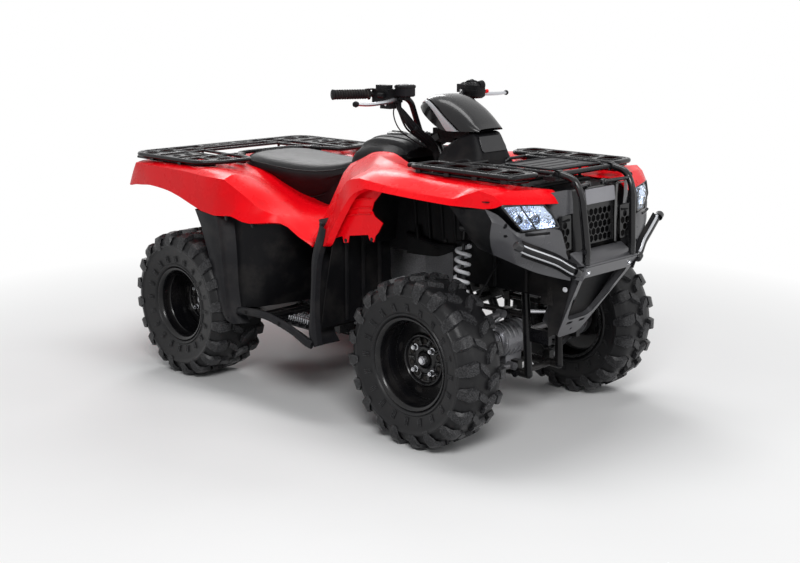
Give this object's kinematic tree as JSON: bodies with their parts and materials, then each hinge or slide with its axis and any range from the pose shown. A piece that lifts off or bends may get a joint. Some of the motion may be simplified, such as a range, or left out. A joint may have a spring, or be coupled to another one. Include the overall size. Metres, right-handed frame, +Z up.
{
  "type": "utility quad bike",
  "caption": "Utility quad bike with front and rear steel racks, red fenders, knobbly tyres, steered front wheels and a solid rear axle.",
  "frame": {"origin": "on the ground under the middle of the wheelbase, which is also the middle of the whole machine", "axes": "+X forward, +Y to the rider's left, +Z up"},
  "size_m": [2.18, 1.196, 1.212],
  "materials": {
    "red_plastic": "glossy moulded",
    "black_plastic": "fine grained",
    "grey_plastic": "fine grained",
    "seat_vinyl": "grained vinyl",
    "black_steel": "satin black paint",
    "satin_steel": "satin",
    "cast_aluminium": "as cast",
    "spring_white": "powder coated",
    "tyre_rubber": "moulded rubber",
    "lamp_clear": "clear lens",
    "lamp_red": "clear red lens"
  },
  "bodies": {
    "chassis": {"frame": "black_steel", "engine": "cast_aluminium", "skid_plate": "black_plastic", "front_fender": "red_plastic", "rear_fender": "red_plastic", "tank_cover": "black_plastic", "nose_cowl": "black_plastic", "fuel_cap": "black_plastic", "seat": "seat_vinyl", "front_rack": "black_steel", "rear_rack": "black_steel", "brush_guard": "black_steel", "lower_guard": "black_steel", "grille": "black_plastic", "headlights": "lamp_clear", "front_cowls": "grey_plastic", "bumper_bars": "satin_steel", "splash_shields": "black_plastic", "mudguards": "grey_plastic", "footrests": "grey_plastic", "side_covers": "black_plastic", "front_arms": "black_steel", "front_shocks": "spring_white", "front_drive": "cast_aluminium", "swingarm": "black_steel", "rear_shock": "spring_white", "muffler": "satin_steel", "tail_light": "lamp_red", "tow_hitch": "black_steel"},
    "steering": {"steering_column": "black_steel", "handlebar": "black_steel", "handlebar_pod": "black_plastic", "controls": "black_plastic"},
    "knuckle_left_body": {"knuckle_left": "black_steel"},
    "knuckle_right_body": {"knuckle_right": "black_steel"},
    "tie_rod_left_body": {"tie_rod_left": "black_steel"},
    "tie_rod_right_body": {"tie_rod_right": "black_steel"},
    "front_wheel_left": {"front_rim_left": "black_steel", "front_tyre_left": "tyre_rubber"},
    "front_wheel_right": {"front_rim_right": "black_steel", "front_tyre_right": "tyre_rubber"},
    "rear_wheels": {"rear_axle": "black_steel", "rear_rims": "black_steel", "rear_tyres": "tyre_rubber"}
  },
  "joints": [
    {"name": "steering_turn", "type": "hinge", "parent": "chassis", "child": "steering", "pos_m": [0.57, 0, 0.4], "axis": [-0.454, 0, 0.891], "range_deg": [-38, 38]},
    {"name": "knuckle_left_turn", "type": "hinge", "parent": "chassis", "child": "knuckle_left_body", "pos_m": [0.6335, 0.385, 0.3], "axis": [0, 0, 1], "range_deg": [-32, 32]},
    {"name": "tie_rod_left_swing", "type": "hinge", "parent": "steering", "child": "tie_rod_left_body", "pos_m": [0.64253, 0.025, 0.38982], "axis": [-0.454, 0, 0.891], "range_deg": [-38, 38]},
    {"name": "front_wheel_left_spin", "type": "hinge", "parent": "knuckle_left_body", "child": "front_wheel_left", "pos_m": [0.6335, 0.448, 0.3], "axis": [0, 1, 0], "continuous": true},
    {"name": "knuckle_right_turn", "type": "hinge", "parent": "chassis", "child": "knuckle_right_body", "pos_m": [0.6335, -0.385, 0.3], "axis": [0, 0, 1], "range_deg": [-32, 32]},
    {"name": "tie_rod_right_swing", "type": "hinge", "parent": "steering", "child": "tie_rod_right_body", "pos_m": [0.64253, -0.025, 0.38982], "axis": [-0.454, 0, 0.891], "range_deg": [-38, 38]},
    {"name": "front_wheel_right_spin", "type": "hinge", "parent": "knuckle_right_body", "child": "front_wheel_right", "pos_m": [0.6335, -0.448, 0.3], "axis": [0, 1, 0], "continuous": true},
    {"name": "rear_axle_spin", "type": "hinge", "parent": "chassis", "child": "rear_wheels", "pos_m": [-0.6335, 0, 0.3], "axis": [0, 1, 0], "continuous": true}
  ],
  "couplings": [
    {"joint": "knuckle_left_turn", "follows": "steering_turn", "ratio": 0.84211},
    {"joint": "tie_rod_left_swing", "follows": "steering_turn", "ratio": -1},
    {"joint": "knuckle_right_turn", "follows": "steering_turn", "ratio": 0.84211},
    {"joint": "tie_rod_right_swing", "follows": "steering_turn", "ratio": -1}
  ]
}
